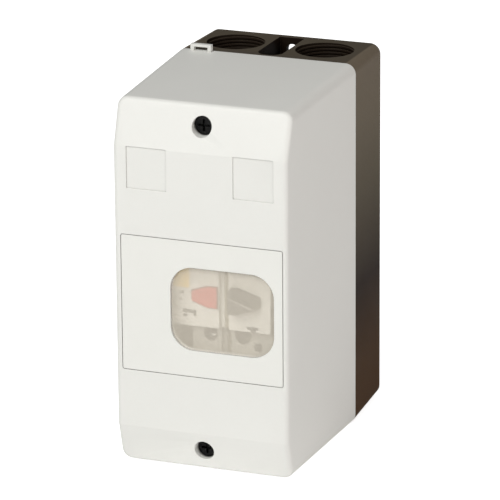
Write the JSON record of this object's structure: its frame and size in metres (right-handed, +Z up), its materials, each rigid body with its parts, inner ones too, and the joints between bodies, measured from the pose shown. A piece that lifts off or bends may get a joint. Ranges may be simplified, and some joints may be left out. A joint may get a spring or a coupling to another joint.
{
  "type": "motor protection breaker enclosure",
  "caption": "Surface-mounting insulated enclosure with a translucent push-through window over a push-button motor protection breaker, screwed cover, threaded cable entries and wall slots.",
  "frame": {"origin": "middle of the width and depth at the level of the lowest edge", "axes": "+Z up, +Y from the front face to the wall, +X to the right of someone facing the front"},
  "size_m": [0.08, 0.115, 0.1628],
  "materials": {
    "cover_plastic": "fine matt moulded",
    "base_plastic": "satin moulded",
    "insert_plastic": "fine matt moulded",
    "membrane": "translucent satin",
    "gasket_rubber": "matt",
    "blackened_steel": "blackened",
    "zinc_steel": "zinc plated",
    "brass": "machined",
    "copper": "bright copper",
    "breaker_light": "fine matt moulded",
    "breaker_dark": "matt moulded",
    "red_button": "satin moulded",
    "black_button": "satin moulded",
    "white_moulding": "matt moulded",
    "carrier_plastic": "matt moulded",
    "tag_yellow": "printed film"
  },
  "bodies": {
    "enclosure": {"base_housing": "base_plastic", "cover_gasket": "gasket_rubber", "boss_inserts": "brass", "top_hat_rail": "zinc_steel", "rail_screws": "zinc_steel", "terminal_carrier": "carrier_plastic", "earth_terminal": "brass", "neutral_terminal": "brass", "terminal_screws": "zinc_steel", "breaker_lower_housing": "breaker_dark", "breaker_upper_housing": "breaker_light", "rocker_pin": "zinc_steel", "line_clamps": "zinc_steel", "load_clamps": "zinc_steel", "clamp_screws": "zinc_steel", "rail_clip_spring": "zinc_steel", "adjustment_tag": "tag_yellow", "fixed_contact_line_1": "copper", "arc_chute_line_1": "zinc_steel", "fixed_contact_load_1": "copper", "arc_chute_load_1": "zinc_steel", "trip_coil_1": "copper", "bimetal_1": "zinc_steel", "fixed_contact_line_2": "copper", "arc_chute_line_2": "zinc_steel", "fixed_contact_load_2": "copper", "arc_chute_load_2": "zinc_steel", "trip_coil_2": "copper", "bimetal_2": "zinc_steel", "fixed_contact_line_3": "copper", "arc_chute_line_3": "zinc_steel", "fixed_contact_load_3": "copper", "arc_chute_load_3": "zinc_steel", "trip_coil_3": "copper", "bimetal_3": "zinc_steel"},
    "cover": {"cover": "cover_plastic", "front_insert": "insert_plastic", "window_membrane": "membrane", "membrane_retainer": "white_moulding", "cover_screws": "blackened_steel"},
    "on_button": {"on_button": "black_button"},
    "off_button": {"off_button": "red_button"},
    "rocker": {"rocker_lever": "white_moulding"},
    "contact_carrier": {"contact_carrier": "white_moulding", "contact_springs": "zinc_steel", "moving_bridge_1": "copper", "moving_bridge_2": "copper", "moving_bridge_3": "copper"},
    "trip_bar": {"trip_bar": "white_moulding"},
    "overload_dial": {"overload_dial": "breaker_dark"},
    "magnetic_dial": {"magnetic_dial": "breaker_dark"},
    "test_button": {"test_button": "breaker_dark"},
    "rail_clip": {"rail_clip": "breaker_dark"},
    "trip_plunger_1": {"trip_plunger_1": "zinc_steel"},
    "trip_plunger_2": {"trip_plunger_2": "zinc_steel"},
    "trip_plunger_3": {"trip_plunger_3": "zinc_steel"}
  },
  "joints": [
    {"name": "cover_lift", "type": "slide", "parent": "enclosure", "child": "cover", "axis": [0, -1, 0], "range_m": [0, 0.1]},
    {"name": "on_press", "type": "slide", "parent": "enclosure", "child": "on_button", "axis": [0, 1, 0], "range_m": [0, 0.004]},
    {"name": "off_release", "type": "slide", "parent": "enclosure", "child": "off_button", "axis": [0, -1, 0], "range_m": [0, 0.004]},
    {"name": "rocker_swing", "type": "hinge", "parent": "enclosure", "child": "rocker", "pos_m": [0.0071, -0.034, 0.0758], "axis": [0, 0, 1], "range_deg": [0, 35.84]},
    {"name": "contact_close", "type": "slide", "parent": "enclosure", "child": "contact_carrier", "axis": [0, 1, 0], "range_m": [0, 0.003]},
    {"name": "trip_swing", "type": "hinge", "parent": "enclosure", "child": "trip_bar", "pos_m": [0.0051, 0.012, 0.0705], "axis": [1, 0, 0], "range_deg": [0, 18]},
    {"name": "overload_turn", "type": "hinge", "parent": "enclosure", "child": "overload_dial", "pos_m": [0.0001, -0.0465, 0.0589], "axis": [0, 1, 0], "range_deg": [-135, 135]},
    {"name": "magnetic_turn", "type": "hinge", "parent": "enclosure", "child": "magnetic_dial", "pos_m": [0.0144, -0.0465, 0.0594], "axis": [0, 1, 0], "range_deg": [-135, 135]},
    {"name": "test_press", "type": "slide", "parent": "enclosure", "child": "test_button", "axis": [0, 1, 0], "range_m": [0, 0.002], "stiffness_N_per_m": 300, "springref_m": -0.001},
    {"name": "clip_release", "type": "slide", "parent": "enclosure", "child": "rail_clip", "axis": [0, 0, -1], "range_m": [0, 0.004], "stiffness_N_per_m": 800, "springref_m": -0.002, "deforming": ["rail_clip_spring"]},
    {"name": "plunger_1_lift", "type": "slide", "parent": "enclosure", "child": "trip_plunger_1", "axis": [0, 0, 1], "range_m": [0, 0.00125], "stiffness_N_per_m": 60, "springref_m": -0.001},
    {"name": "plunger_2_lift", "type": "slide", "parent": "enclosure", "child": "trip_plunger_2", "axis": [0, 0, 1], "range_m": [0, 0.00125]},
    {"name": "plunger_3_lift", "type": "slide", "parent": "enclosure", "child": "trip_plunger_3", "axis": [0, 0, 1], "range_m": [0, 0.00125]}
  ],
  "couplings": [
    {"joint": "off_release", "follows": "on_press", "ratio": 1},
    {"joint": "rocker_swing", "follows": "on_press", "rad_per_m": 156.34},
    {"joint": "contact_close", "follows": "on_press", "ratio": 0.75},
    {"joint": "trip_swing", "follows": "plunger_1_lift", "rad_per_m": 250},
    {"joint": "plunger_2_lift", "follows": "plunger_1_lift", "ratio": 1},
    {"joint": "plunger_3_lift", "follows": "plunger_1_lift", "ratio": 1}
  ]
}
